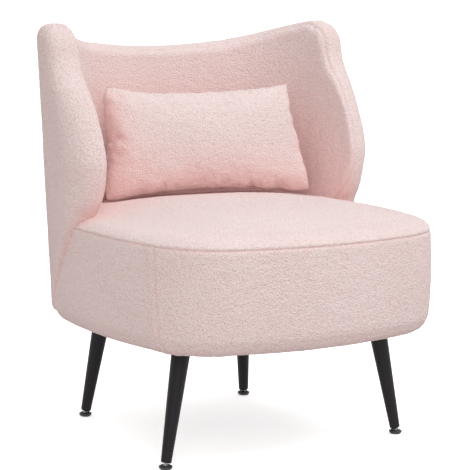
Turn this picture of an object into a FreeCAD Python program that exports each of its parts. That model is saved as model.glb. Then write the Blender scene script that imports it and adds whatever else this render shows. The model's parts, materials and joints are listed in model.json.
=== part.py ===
import FreeCAD, Part
import math
import os
import Sketcher
from FreeCAD import Placement, Rotation, Vector

# Upholstered armchair: a rounded box seat on four splayed tube legs, with a
# wrap-around back shell whose wings form the arms, and a loose lumbar pillow.
# Millimetres. Origin on the floor under the middle, +Z up, the chair faces -Y.

os.makedirs("parts", exist_ok=True)
doc = FreeCAD.newDocument("armchair")

SIZES = {
    # seat plan: two pairs of shallow arcs joined by corner arcs
    "seat_half_width": 334, "seat_half_depth": 318, "seat_end_arc": 750,
    "seat_side_arc": 830, "seat_corner": 160, "seat_middle": -32,
    "seat_low": 224, "seat_top": 442, "seat_edge_round": 24,
    "seat_seam_height": 417, "corner_seam_y": -216,
    # back shell plan at its lower edge, growing upwards with the flare
    "shell_half_width": 336, "shell_half_depth": 355, "shell_end_arc": 750,
    "shell_side_arc": 830, "shell_corner": 240, "shell_middle": -32,
    "shell_low": 225, "shell_high": 825, "shell_flare": 2.93,
    # side outline of the wing and of the rim
    "wing_foot_y": 165, "arm_root_y": 29, "arm_root_z": 440,
    "arm_front_y": -11, "arm_front_z": 550, "arm_front_arc": 141,
    "arm_top_y": 70, "arm_top_z": 697, "arm_top_arc": 305,
    "neck_y": 100, "neck_z": 752, "neck_arc": 111,
    "peak_y": 169, "peak_z": 800, "peak_arc": 60,
    "rim_back_y": 341, "rim_back_z": 728, "rim_arc": 412,
    "outline_back_y": 400, "outline_drop": 30,
    # upholstery layers, measured inwards from the outer face
    "cover": 3, "wadding_inner": 13, "brace_split": 24, "frame_inner": 35,
    "panel_inner": 39, "foam_inner": 65, "shell_inner": 68,
    "seam_inset": 50, "edge_padding": 25, "rib_inner": 50, "shell_gap": 0.5,
    # back frame
    "wing_rib_x": 180, "joint_gap": 0.2, "bottom_rail_top": 335,
    "middle_rail_low": 500, "middle_rail_high": 530,
    "back_post_inner": 100, "back_post_outer": 130,
    # seat structure
    "border_inner": 24, "board_inset": 27, "ply": 15, "ring_width": 60,
    "under_wrap": 30, "wrap_cut": 8, "foam_low": 371, "insulator_low": 367.4,
    "insulator_thick": 3.4, "ring_top": 362, "rear_rail_thick": 22,
    "rear_rail_x": 135, "post_size": 45, "vent_width": 280, "vent_depth": 240,
    "front_post_x": 225, "front_post_y": -235, "rear_post_x": 165,
    "rear_post_y": 150,
    "spring_wire": 1.8, "spring_pitch": 28, "spring_width": 44,
    "spring_span": 476, "spring_middle": -44, "spring_spacing": 100,
    "spring_height": 364.4, "clip_width": 16, "clip_depth": 12,
    "clip_height": 5.2,
    "dust_cover_low": 223.1, "dust_cover_thick": 0.7, "dust_inset": 28,
    "dust_hole": 23,
    # legs
    "leg_top_radius": 18, "leg_low_radius": 10, "leg_wall": 1.5,
    "leg_start": 5.6, "leg_length": 210.4, "leg_end_round": 1.6, "leg_cap": 12,
    "front_foot_x": 268, "front_foot_y": -196, "front_lean_x": 44,
    "front_lean_y": 18, "rear_foot_x": 194, "rear_foot_y": 233,
    "rear_lean_x": 27, "rear_lean_y": 27, "lean_height": 225,
    "plate_size": 46, "plate_thick": 3, "boss_length": 20, "stud_radius": 4,
    "stud_length": 20, "screw_radius": 2.2, "screw_length": 12,
    "screw_head": 4.2, "screw_sink": 2.2, "screw_offset": 16,
    "insert_radius": 7.6, "insert_length": 24, "thread_gap": 0.4,
    # levelling glides
    "ball_height": 6.4, "ball_radius": 5, "socket_gap": 0.35,
    "glide_low_radius": 9.5, "glide_rim_radius": 12.6, "glide_rim_low": 3.2,
    "glide_rim_high": 6, "glide_top_radius": 8.2, "glide_height": 8.6,
    "socket_mouth": 3.8, "neck_radius": 2.6, "glide_neck": 6.6,
    "glide_stud_length": 24,
    # lumbar pillow
    "pillow_half_width": 215, "pillow_half_height": 118, "pillow_half_thick": 62,
    "pillow_edge": 14, "pillow_cover": 2, "pillow_x": 25, "pillow_y": 138,
    "pillow_middle": 561, "pillow_lean": 9, "pillow_turn": 12,
    # bolts between the seat and the back
    "bolt_radius": 3, "bolt_height": 290, "bolt_x": 60, "bolt_start": 204,
    "bolt_length": 100, "bolt_head": 6.5, "bolt_head_thick": 4,
    "nut_radius": 5, "nut_start": 293, "nut_length": 14, "nut_flange": 10,
    "nut_flange_thick": 1.6,
}

sheet = doc.addObject("Spreadsheet::Sheet", "Sizes")
for row, (alias, number) in enumerate(SIZES.items(), 1):
    sheet.set("A%d" % row, alias)
    sheet.set("B%d" % row, str(number))
    sheet.setAlias("B%d" % row, alias)
doc.recompute()

nodes = []


def total(formula):
    """Value of a sum or difference of aliases and numbers."""
    result = 0.0
    sign = 1
    for word in formula.split():
        if word in ("+", "-"):
            sign = 1 if word == "+" else -1
            continue
        result += sign * (float(sheet.get(word)) if word in SIZES else float(word))
    return result


def less(high, low):
    """Formula of one sum less another, with the signs of the second turned."""
    turned_signs = {"+": "-", "-": "+"}
    return high + " - " + " ".join(turned_signs.get(w, w) for w in low.split())


def bind(thing, prop, formula, factor=""):
    """Bind a property to a sum of aliases, with an optional factor."""
    words = ["Sizes." + w if w in SIZES else w for w in formula.split()]
    text = " ".join(words)
    thing.setExpression(prop, "(%s)%s" % (text, factor) if factor else text)


def keep(thing, label):
    """Mark an object as one of the chair's pieces."""
    thing.Label = label
    nodes.append(thing)
    return thing


def new_sketch(body, plane, name):
    sketch = body.newObject("Sketcher::SketchObject", name)
    origin = [f for f in body.Origin.OriginFeatures if f.Role == plane][0]
    sketch.AttachmentSupport = [(origin, "")]
    sketch.MapMode = "FlatFace"
    return sketch


def limit(sketch, kind, places, formula):
    number = sketch.addConstraint(Sketcher.Constraint(kind, *places, total(formula)))
    bind(sketch, "Constraints[%d]" % number, formula)


def cut(base, tool, name="Trimmed"):
    result = doc.addObject("Part::Cut", name)
    result.Base = base
    result.Tool = tool
    return result


def common(*shapes):
    result = doc.addObject("Part::MultiCommon", "Overlap")
    result.Shapes = list(shapes)
    return result


def fuse(shapes, name="Joined"):
    result = doc.addObject("Part::MultiFuse", name)
    result.Shapes = list(shapes)
    return result


def group(shapes, label):
    result = doc.addObject("Part::Compound", "Group")
    result.Links = list(shapes)
    return keep(result, label)


def arc_between(centre, radius, start, end):
    first = math.atan2(start[1] - centre[1], start[0] - centre[0])
    last = math.atan2(end[1] - centre[1], end[0] - centre[0])
    if last < first:
        last += 2 * math.pi
    circle = Part.Circle(Vector(centre[0], centre[1], 0), Vector(0, 0, 1), radius)
    return Part.ArcOfCircle(circle, first, last)


def four_arcs(sketch, family, inset):
    """Closed outline of an end arc, a side arc, an end arc and a side arc."""
    end_radius = less(family + "_end_arc", inset)
    side_radius = less(family + "_side_arc", inset)
    end = total(end_radius)
    side = total(side_radius)
    rise = total(family + "_end_arc - " + family + "_half_depth")
    reach = total(family + "_side_arc - " + family + "_half_width")
    # the front arc is centred at (0, rise) and the right arc at (-reach, 0)
    span = math.hypot(reach, rise)
    along = (end ** 2 - side ** 2 + span ** 2) / (2 * span)
    across = math.sqrt(end ** 2 - along ** 2)
    x = -reach / span * along + rise / span * across
    y = rise - rise / span * along - reach / span * across
    x = abs(x)
    y = abs(y)
    corners = [(-x, -y), (x, -y), (x, y), (-x, y)]
    centres = [(0, rise), (-reach, 0), (0, -rise), (reach, 0)]
    for i, centre in enumerate(centres):
        radius = side if i % 2 else end
        arc = arc_between(centre, radius, corners[i], corners[(i + 1) % 4])
        sketch.addGeometry(arc, False)
    for i in range(4):
        sketch.addConstraint(Sketcher.Constraint("Coincident", i, 2, (i + 1) % 4, 1))
        axis = -1 if i % 2 else -2
        sketch.addConstraint(Sketcher.Constraint("PointOnObject", i, 3, axis))
    end_shift = family + "_end_arc - " + family + "_half_depth"
    side_shift = family + "_side_arc - " + family + "_half_width"
    limit(sketch, "DistanceY", (-1, 1, 0, 3), end_shift)
    limit(sketch, "DistanceX", (1, 3, -1, 1), side_shift)
    limit(sketch, "DistanceY", (2, 3, -1, 1), end_shift)
    limit(sketch, "DistanceX", (-1, 1, 3, 3), side_shift)
    for i in range(4):
        limit(sketch, "Radius", (i,), side_radius if i % 2 else end_radius)


def block(family, inset, low, high, top_round=None, low_round=None):
    """Solid of the seat's or the shell's plan, inset from the outer face."""
    body = doc.addObject("PartDesign::Body", family.title() + "Block")
    bind(body, "Placement.Base.y", family + "_middle")
    sketch = new_sketch(body, "XY_Plane", "Plan")
    bind(sketch, "AttachmentOffset.Base.z", low)
    four_arcs(sketch, family, inset)
    pad = body.newObject("PartDesign::Pad", "Rise")
    pad.Profile = sketch
    bind(pad, "Length", less(high, low))
    if family == "shell":
        bind(pad, "TaperAngle", "shell_flare")
    doc.recompute()
    upright = []
    for number, edge in enumerate(pad.Shape.Edges, 1):
        ends = [v.Point.z for v in edge.Vertexes]
        if abs(ends[0] - ends[-1]) > 0.5 * total(less(high, low)):
            upright.append("Edge%d" % number)
    last = body.newObject("PartDesign::Fillet", "Corners")
    last.Base = (pad, upright)
    bind(last, "Radius", less(family + "_corner", inset))
    for radius, level in ((top_round, high), (low_round, low)):
        if radius is None:
            continue
        doc.recompute()
        rim = []
        for number, edge in enumerate(last.Shape.Edges, 1):
            box = edge.BoundBox
            if abs(box.ZMin - total(level)) < 0.01 and box.ZLength < 0.01:
                rim.append("Edge%d" % number)
        rounded = body.newObject("PartDesign::Fillet", "Rounding")
        rounded.Base = (last, rim)
        bind(rounded, "Radius", radius)
        last = rounded
    body.Tip = last
    return body


def outline_prism(shift_y="", shift_z=""):
    """Side outline of the shell, drawn in Y and Z and run across the chair."""
    body = doc.addObject("PartDesign::Body", "SideOutline")
    if shift_y:
        bind(body, "Placement.Base.y", shift_y)
    if shift_z:
        bind(body, "Placement.Base.z", shift_z)
    sketch = new_sketch(body, "YZ_Plane", "Outline")
    sketch.AttachmentOffset = Placement(Vector(0, 0, -500), Rotation())
    corners = [
        ("outline_back_y", "shell_low"), ("wing_foot_y", "shell_low"),
        ("arm_root_y", "arm_root_z"), ("arm_front_y", "arm_front_z"),
        ("arm_top_y", "arm_top_z"), ("neck_y", "neck_z"), ("peak_y", "peak_z"),
        ("rim_back_y", "rim_back_z"),
        ("outline_back_y", "rim_back_z - outline_drop"),
    ]
    # radius of the edge that leaves each corner, None where it is straight
    bends = [None, None, ("arm_front_arc", 1), ("arm_top_arc", 1),
             ("neck_arc", -1), ("peak_arc", 1), ("rim_arc", 1), None, None]
    points = [(total(y), total(z)) for y, z in corners]
    for i, bend in enumerate(bends):
        start = points[i]
        end = points[(i + 1) % len(points)]
        if bend is None:
            line = Part.LineSegment(Vector(*start, 0), Vector(*end, 0))
            sketch.addGeometry(line, False)
            continue
        radius = total(bend[0])
        chord = math.dist(start, end)
        offset = math.sqrt(radius ** 2 - chord ** 2 / 4)
        across = ((end[1] - start[1]) / chord, (start[0] - end[0]) / chord)
        centre = [(a + b) / 2 + bend[1] * offset * n
                  for a, b, n in zip(start, end, across)]
        if bend[1] > 0:
            arc = arc_between(centre, radius, end, start)
        else:
            arc = arc_between(centre, radius, start, end)
        sketch.addGeometry(arc, False)
    heads = [2 if bend and bend[1] > 0 else 1 for bend in bends]
    tails = [1 if bend and bend[1] > 0 else 2 for bend in bends]
    for i in range(len(bends)):
        following = (i + 1) % len(bends)
        sketch.addConstraint(Sketcher.Constraint(
            "Coincident", i, tails[i], following, heads[following]))
    limit(sketch, "DistanceX", (-1, 1, 0, 1), "outline_back_y")
    limit(sketch, "DistanceY", (-1, 1, 0, 1), "shell_low")
    sketch.addConstraint(Sketcher.Constraint("Horizontal", 0))
    sketch.addConstraint(Sketcher.Constraint("Vertical", len(bends) - 1))
    for i, (y, z) in enumerate(corners):
        if i == 0:
            continue
        if i < len(corners) - 1:
            limit(sketch, "DistanceX", (i, heads[i], 0, 1), "outline_back_y - " + y)
        if i > 1:
            limit(sketch, "DistanceY", (0, 1, i, heads[i]), z + " - shell_low")
    for i, bend in enumerate(bends):
        if bend:
            limit(sketch, "Radius", (i,), bend[0])
    pad = body.newObject("PartDesign::Pad", "Across")
    pad.Profile = sketch
    pad.Length = 1000
    return body


def inset_outline(inset):
    """Side outline moved inwards: the overlap of a lowered and a raised copy."""
    return common(outline_prism(inset, "0 - " + inset), outline_prism(inset, inset))


def slab(axis, low, high):
    """Layer between two heights, or two positions across or along the chair."""
    box = doc.addObject("Part::Box", "Layer")
    for name, side in zip("xyz", ("Length", "Width", "Height")):
        if name == axis:
            bind(box, "Placement.Base." + name, low)
            bind(box, side, less(high, low))
            continue
        setattr(box, side, 2000)
    box.Placement = Placement(Vector(-1000, -1000, -1000), Rotation())
    return box


def turned(name, corners):
    """Piece of revolution about its own Z axis, from (radius, height) corners."""
    body = doc.addObject("PartDesign::Body", name)
    sketch = new_sketch(body, "XZ_Plane", "HalfSection")
    points = [Vector(total(r), total(z), 0) for r, z in corners]
    count = len(points)
    for i in range(count):
        line = Part.LineSegment(points[i], points[(i + 1) % count])
        sketch.addGeometry(line, False)
    for i in range(count):
        sketch.addConstraint(
            Sketcher.Constraint("Coincident", i, 2, (i + 1) % count, 1))
    for i, (radius, height) in enumerate(corners):
        if radius == "0":
            sketch.addConstraint(Sketcher.Constraint("PointOnObject", i, 1, -2))
        else:
            limit(sketch, "DistanceX", (-1, 1, i, 1), radius)
        if height == "0":
            sketch.addConstraint(Sketcher.Constraint("PointOnObject", i, 1, -1))
        else:
            limit(sketch, "DistanceY", (-1, 1, i, 1), height)
    turn = body.newObject("PartDesign::Revolution", "Turn")
    turn.Profile = sketch
    turn.ReferenceAxis = (sketch, ["V_Axis"])
    turn.Angle = 360
    return body


def rod(name, radius, length):
    cylinder = doc.addObject("Part::Cylinder", name)
    bind(cylinder, "Radius", radius)
    bind(cylinder, "Height", length)
    return cylinder


def place(thing, base, rotation=Rotation()):
    thing.Placement = Placement(base, rotation)
    return thing


# ---- envelopes shared by the upholstery layers ----

shell = {}
for inset in ("0", "cover", "wadding_inner", "seam_inset", "brace_split",
              "frame_inner", "panel_inner", "foam_inner", "shell_inner"):
    shell[inset] = block("shell", inset, "shell_low", "shell_high")
side = outline_prism()
side_cover = inset_outline("cover")
side_core = inset_outline("edge_padding")
side_hollow = inset_outline("rib_inner")
seat_foot = block("seat", "board_inset - joint_gap", "seat_low",
                  "seat_low + cover + ply + joint_gap")
board_room = block("seat", "board_inset - joint_gap", "seat_low + cover",
                   "seat_low + cover + ply + joint_gap")

# fastenings that cross the seat's rear rail, the padding and the back frame
bolts = []
nuts = []
ways = []
BACKWARDS = Rotation(Vector(1, 0, 0), -90)
for bolt_x in (-total("bolt_x"), total("bolt_x")):
    start = Vector(bolt_x, total("bolt_start"), total("bolt_height"))
    shank = place(rod("BoltShank", "bolt_radius", "bolt_length"), start, BACKWARDS)
    head = rod("BoltHead", "bolt_head", "bolt_head_thick")
    place(head, start - Vector(0, total("bolt_head_thick"), 0), BACKWARDS)
    bolts.append(fuse([shank, head], "Bolt"))
    seat_of_nut = Vector(bolt_x, total("nut_start"), total("bolt_height"))
    barrel = place(rod("NutBarrel", "nut_radius", "nut_length"), seat_of_nut, BACKWARDS)
    flange = rod("NutFlange", "nut_flange", "nut_flange_thick")
    rim = Vector(0, total("nut_length"), 0)
    place(flange, seat_of_nut + rim, BACKWARDS)
    nut = fuse([barrel, flange], "NutBlank")
    nuts.append(cut(nut, bolts[-1], "Nut"))
    ways += [bolts[-1], nut]
bolt_ways = fuse(ways, "BoltWays")

# ---- back shell ----

shell_solid = common(cut(shell["0"], shell["shell_inner"]), side)
shell_fill = common(cut(shell["cover"], shell["foam_inner"]), side_cover)
shell_skin = cut(cut(cut(shell_solid, shell_fill), seat_foot), bolt_ways)
keep(cut(shell_skin, shell["seam_inset"]), "back_outer_cover")
keep(common(shell_skin, shell["seam_inset"]), "back_inner_cover")

frame_zone = common(cut(shell["wadding_inner"], shell["frame_inner"]), side_core)
core = common(cut(shell["wadding_inner"], shell["panel_inner"]), side_core)
wadding = common(cut(shell["cover"], shell["wadding_inner"]), side_cover)
keep(cut(cut(wadding, seat_foot), bolt_ways), "back_outer_wadding")
foam = common(cut(shell["wadding_inner"], shell["foam_inner"]), side_cover)
keep(cut(cut(cut(foam, core), seat_foot), bolt_ways), "back_inner_foam")
panel = common(cut(shell["frame_inner"], shell["panel_inner"]), side_core)
keep(cut(panel, bolt_ways), "back_inner_panel")

rib_band = cut(frame_zone, side_hollow)
keep(common(rib_band, slab("x", "0 - shell_half_depth - 100", "0 - wing_rib_x")),
     "back_left_wing_rib")
keep(common(rib_band, slab("x", "wing_rib_x", "shell_half_depth + 100")),
     "back_right_wing_rib")
between = slab("x", "joint_gap - wing_rib_x", "wing_rib_x - joint_gap")
keep(common(rib_band, between, slab("z", "middle_rail_high", "shell_high")),
     "back_top_rail")
low_layer = slab("z", "shell_low", "bottom_rail_top")
keep(cut(common(frame_zone, between, low_layer), bolt_ways), "back_bottom_rail")

hollow = common(frame_zone, side_hollow)
brace_zone = common(hollow, shell["brace_split"])
keep(common(brace_zone, slab("z", "middle_rail_low", "middle_rail_high")),
     "back_middle_rail")
post_zone = cut(hollow, shell["brace_split"])
upper = slab("z", "bottom_rail_top + joint_gap", "shell_high")
for label, low, high in (
        ("back_left_post", "0 - back_post_outer", "0 - back_post_inner"),
        ("back_right_post", "back_post_inner", "back_post_outer")):
    keep(common(post_zone, upper, slab("x", low, high)), label)

group(bolts, "back_bolts")
group(nuts, "back_t_nuts")

# ---- seat ----

legs = []
for name, mirror, foot, across in (
        ("front_left", -1, "front", -1), ("front_right", 1, "front", -1),
        ("rear_left", -1, "rear", 1), ("rear_right", 1, "rear", 1)):
    ball = Vector(mirror * total(foot + "_foot_x"), total(foot + "_foot_y"),
                  total("ball_height"))
    axis = Vector(-mirror * total(foot + "_lean_x"),
                  -across * total(foot + "_lean_y"), total("lean_height"))
    axis.normalize()
    legs.append((name, ball, axis, Rotation(Vector(0, 0, 1), axis)))

screws = []
plate_middles = []
for name, ball, axis, tilt in legs:
    rise = total("seat_low") - ball.z
    middle = ball + axis * (rise / axis.z)
    plate_middles.append(middle)
    for dx in (-1, 1):
        for dy in (-1, 1):
            offset = Vector(dx, dy, 0) * total("screw_offset")
            sunk = doc.addObject("Part::Cone", "ScrewHead")
            bind(sunk, "Radius1", "screw_head")
            bind(sunk, "Radius2", "screw_radius")
            bind(sunk, "Height", "screw_sink")
            place(sunk, middle + offset)
            shank = rod("ScrewShank", "screw_radius", "screw_length")
            place(shank, middle + offset)
            screws.append(fuse([sunk, shank], "Screw"))
screw_ways = doc.addObject("Part::Compound", "ScrewWays")
screw_ways.Links = screws


def seat_zone(inset):
    """Room that the shell takes out of the seat, for a layer at this inset."""
    forward = less("0", "shell_gap + " + inset)
    inner = block("shell", "shell_inner + shell_gap + " + inset, "shell_low",
                  "shell_high")
    return cut(outline_prism(forward), inner)


zones = {inset: seat_zone(inset) for inset in (
    "0", "cover", "border_inner", "board_inset")}


def seat_layer(inset, low, high, top_round=None, low_round=None):
    return cut(block("seat", inset, low, high, top_round, low_round), zones[inset])


seat_solid = seat_layer("0", "seat_low", "seat_top", "seat_edge_round",
                        "seat_edge_round")
seat_fill = seat_layer("cover", "seat_low + cover", "seat_top - cover",
                       "seat_edge_round - cover", "seat_edge_round - cover")
wrap_hole = block("seat", "under_wrap", "seat_low - cover", "seat_low + wrap_cut")
seat_skin = cut(cut(seat_solid, seat_fill), fuse([wrap_hole, bolt_ways]))
seat_skin = cut(seat_skin, board_room)
above = slab("z", "seat_seam_height", "seat_top + cover")
keep(common(seat_skin, above), "seat_cover_top")
band = cut(seat_skin, above)
front_part = slab("y", "0 - 600", "corner_seam_y")
keep(common(band, front_part), "seat_cover_front_band")
side_bands = cut(band, front_part)
left_part = slab("x", "0 - 600", "0")
keep(common(side_bands, left_part), "seat_cover_left_band")
keep(cut(side_bands, left_part), "seat_cover_right_band")

foam_layer = slab("z", "foam_low", "seat_top")
keep(common(seat_fill, foam_layer), "seat_foam")
inside = seat_layer("border_inner", "seat_low", "foam_low")
border = cut(cut(cut(seat_fill, foam_layer), inside), board_room)
keep(cut(border, bolt_ways), "seat_border_wadding")

wall_outer = seat_layer("border_inner", "seat_low + cover + ply", "ring_top")
wall_inner = seat_layer("board_inset", "seat_low", "ring_top + cover")
keep(cut(cut(wall_outer, wall_inner), bolt_ways), "seat_wall_board")

ring_blank = seat_layer("board_inset", "ring_top - ply", "ring_top")
zones["board_inset + ring_width"] = seat_zone("board_inset + ring_width")
ring_hole = seat_layer("board_inset + ring_width", "seat_low", "foam_low")
keep(cut(ring_blank, ring_hole), "seat_top_ring")

vent = doc.addObject("Part::Box", "Vent")
bind(vent, "Length", "vent_width")
bind(vent, "Width", "vent_depth")
bind(vent, "Height", "ply", " * 3")
place(vent, Vector(-total("vent_width") / 2, -total("vent_depth") / 2,
                   total("seat_low")))
board = block("seat", "board_inset", "seat_low + cover", "seat_low + cover + ply")
stud_ways = []
for name, ball, axis, tilt in legs:
    from_leg = total("leg_start + leg_length - leg_cap")
    way = rod("StudWay", "stud_radius", "stud_length + ply")
    stud_ways.append(place(way, ball + axis * from_leg, tilt))
keep(cut(cut(cut(board, vent), screw_ways), fuse(stud_ways, "StudWays")),
     "seat_base_board")

rail_blank = seat_layer("board_inset", "seat_low + cover + ply", "ring_top - ply")
zones["board_inset + rear_rail_thick"] = seat_zone("board_inset + rear_rail_thick")
rail_inner = seat_layer("board_inset + rear_rail_thick", "seat_low", "ring_top")
rail = common(cut(rail_blank, rail_inner), slab("y", "0", "600"),
              slab("x", "0 - rear_rail_x", "rear_rail_x"))
keep(cut(rail, bolt_ways), "seat_rear_rail")

for label, mirror, row in (
        ("seat_front_left_post", -1, "front"), ("seat_front_right_post", 1, "front"),
        ("seat_rear_left_post", -1, "rear"), ("seat_rear_right_post", 1, "rear")):
    post = doc.addObject("Part::Box", "Post")
    bind(post, "Length", "post_size")
    bind(post, "Width", "post_size")
    bind(post, "Height", "ring_top - ply - ply - cover - seat_low")
    half = total("post_size") / 2
    place(post, Vector(mirror * total(row + "_post_x") - half,
                       total(row + "_post_y") - half,
                       total("seat_low + cover + ply")))
    keep(post, label)


def serpentine(x):
    """Centre line of one sinuous spring: half turns joined by cross runs."""
    pitch = total("spring_pitch")
    reach = total("spring_width") / 2 - pitch / 4
    turns = int(total("spring_span - 60") // (pitch / 2))
    start = total("spring_middle") - turns * pitch / 4
    end = start + turns * pitch / 2
    level = total("spring_height")
    head = total("spring_middle") - total("spring_span") / 2
    tail = total("spring_middle") + total("spring_span") / 2
    last = Vector(x, start, level)
    edges = [Part.LineSegment(Vector(x, head, level), last)]
    for turn in range(turns):
        side_x = x + reach * (1 if turn % 2 else -1)
        near = Vector(side_x, start + turn * pitch / 2, level)
        far = Vector(side_x, near.y + pitch / 2, level)
        bulge = Vector(side_x + (pitch / 4) * (1 if turn % 2 else -1),
                       near.y + pitch / 4, level)
        edges.append(Part.LineSegment(last, near))
        edges.append(Part.Arc(near, bulge, far))
        last = far
    edges.append(Part.LineSegment(last, Vector(x, end, level)))
    edges.append(Part.LineSegment(Vector(x, end, level), Vector(x, tail, level)))
    return Part.Wire([edge.toShape() for edge in edges])


clips = []
for index, label in enumerate(("outer_left", "inner_left", "inner_right",
                               "outer_right")):
    x = (index - 1.5) * total("spring_spacing")
    path = serpentine(x)
    first = path.Vertexes[0].Point
    circle = Part.Circle(first, Vector(0, 1, 0), total("spring_wire"))
    profile = Part.Wire([circle.toShape()])
    spring = doc.addObject("Part::Feature", "Spring")
    spring.Shape = path.makePipeShell([profile], True, False, 2)
    keep(spring, "seat_spring_" + label)
    for end in (-1, 1):
        clip = doc.addObject("Part::Box", "ClipBlock")
        bind(clip, "Length", "clip_width")
        bind(clip, "Width", "clip_depth")
        bind(clip, "Height", "clip_height")
        end_y = total("spring_middle") + end * total("spring_span") / 2
        inward = end_y - end * total("clip_depth")
        place(clip, Vector(x - total("clip_width") / 2, min(end_y, inward),
                           total("ring_top")))
        groove = rod("ClipGroove", "spring_wire", "clip_depth + 2")
        place(groove, Vector(x, min(end_y, inward) - 1, total("spring_height")),
              BACKWARDS)
        clips.append(cut(clip, groove, "Clip"))
group(clips, "seat_spring_clips")

keep(seat_layer("border_inner", "insulator_low", "insulator_low + insulator_thick"),
     "seat_spring_insulator")

dust = block("seat", "dust_inset", "dust_cover_low",
             "dust_cover_low + dust_cover_thick")
holes = []
for middle in plate_middles:
    hole = rod("DustHole", "dust_hole", "cover")
    holes.append(place(hole, middle - Vector(0, 0, total("cover") * 0.7)))
keep(cut(dust, fuse(holes, "DustHoles")), "seat_dust_cover")

# ---- legs ----

studs = []
for (name, ball, axis, tilt), middle in zip(legs, plate_middles):
    foot = ball + axis * total("leg_start")
    tube = turned("TaperedTube", [
        ("insert_radius", "0"), ("leg_low_radius - leg_end_round", "0"),
        ("leg_low_radius", "leg_end_round"), ("leg_top_radius", "leg_length"),
        ("stud_radius", "leg_length"), ("stud_radius", "leg_length - leg_cap"),
        ("leg_top_radius - leg_wall - 1", "leg_length - leg_cap"),
        ("leg_low_radius - leg_wall + 0.8", "insert_length"),
        ("insert_radius", "insert_length")])
    keep(place(tube, foot, tilt), name + "_leg")

    insert = turned("ThreadedInsert", [
        ("stud_radius + thread_gap", "0"), ("insert_radius", "0"),
        ("insert_radius", "insert_length"),
        ("stud_radius + thread_gap", "insert_length")])
    keep(place(insert, foot, tilt), name + "_leg_insert")

    top = ball + axis * total("leg_start + leg_length")
    plate = doc.addObject("Part::Box", "Plate")
    bind(plate, "Length", "plate_size")
    bind(plate, "Width", "plate_size")
    bind(plate, "Height", "plate_thick")
    half = total("plate_size") / 2
    place(plate, middle - Vector(half, half, 0))
    boss = place(rod("Boss", "leg_top_radius", "boss_length"), top, tilt)
    below = slab("z", "0", "seat_low + plate_thick")
    thread = rod("StudThread", "stud_radius", "stud_length")
    place(thread, ball + axis * total("leg_start + leg_length - leg_cap"), tilt)
    studs.append(thread)
    pressed = cut(common(fuse([plate, boss], "PressedPlate"), below), thread)
    keep(cut(pressed, screw_ways), name + "_leg_plate")

    sphere = doc.addObject("Part::Sphere", "Ball")
    bind(sphere, "Radius", "ball_radius")
    neck = rod("Neck", "neck_radius", "glide_neck")
    thread = rod("GlideThread", "stud_radius", "glide_stud_length")
    place(thread, Vector(0, 0, total("glide_neck")))
    glide_stud = fuse([sphere, neck, thread], "GlideStud")
    keep(place(glide_stud, ball, tilt), name + "_glide_stud")

    foot_base = turned("GlideBase", [
        ("0", "0"), ("glide_low_radius", "0"),
        ("glide_rim_radius", "glide_rim_low"),
        ("glide_rim_radius", "glide_rim_high"),
        ("glide_top_radius", "glide_height"), ("0", "glide_height")])
    place(foot_base, Vector(ball.x, ball.y, 0))
    socket = doc.addObject("Part::Sphere", "Socket")
    bind(socket, "Radius", "ball_radius + socket_gap")
    place(socket, ball)
    mouth = place(rod("Mouth", "socket_mouth", "glide_height"), ball)
    keep(cut(foot_base, fuse([socket, mouth], "SocketRoom")), name + "_glide_base")
group(studs, "leg_top_studs")
group(screws, "leg_plate_screws")

# ---- lumbar pillow ----


def pillow_solid(inset):
    """Rectangle thick in the middle and thin at its four edges."""
    parts = []
    belly = total(less("pillow_half_thick", inset))
    edge = total(less("pillow_edge", inset))
    for half, turn in (("pillow_half_width", Rotation()),
                       ("pillow_half_height", Rotation(Vector(0, 1, 0), 90))):
        reach = total(less(half, inset))
        sag = belly - edge
        radius = (reach ** 2 + sag ** 2) / (2 * sag)
        for facing in (-1, 1):
            curve = doc.addObject("Part::Cylinder", "Belly")
            curve.Radius = radius
            curve.Height = 800
            along = turn.multVec(Vector(0, 0, -400))
            away = Vector(0, facing * (radius - belly), 0)
            parts.append(place(curve, along + away, turn))
    box = doc.addObject("Part::Box", "PillowBox")
    for prop, half in (("Length", "pillow_half_width"), ("Width", "pillow_half_thick"),
                       ("Height", "pillow_half_height")):
        bind(box, prop, less(half, inset), " * 2")
    place(box, Vector(-total("pillow_half_width - " + inset),
                      -total("pillow_half_thick - " + inset),
                      -total("pillow_half_height - " + inset)))
    parts.append(box)
    return common(*parts)


turn = Rotation(Vector(0, 0, 1), -total("pillow_turn"))
lean = Rotation(Vector(1, 0, 0), -total("pillow_lean"))
spot = Vector(total("pillow_x"), total("pillow_y"), total("pillow_middle"))
pillow_inner = pillow_solid("pillow_cover")
pillow_outer = pillow_solid("0")
filling = place(common(pillow_inner), spot, turn.multiply(lean))
keep(filling, "pillow_filling")
case = place(cut(pillow_outer, pillow_inner), spot, turn.multiply(lean))
keep(case, "pillow_cover")

doc.recompute()

for thing in doc.Objects:
    if "Invalid" in thing.State or "Error" in thing.State:
        raise RuntimeError("%s failed: %s" % (thing.Name, thing.State))
labels = [node.Label for node in nodes]
if len(set(labels)) != len(labels):
    raise RuntimeError("two nodes share a label")
for node in nodes:
    if node.Shape.isNull() or not node.Shape.isValid() or not node.Shape.Solids:
        raise RuntimeError("%s has no valid solid" % node.Label)
for node in nodes:
    node.Shape.exportStep("parts/%s.step" % node.Label)
    print("%s: %d solid(s), %.1f cm3" % (
        node.Label, len(node.Shape.Solids), node.Shape.Volume / 1000))
print("%d nodes" % len(nodes))
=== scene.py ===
import json
import math

import bpy
import numpy as np
from mathutils import Matrix, Vector


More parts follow.
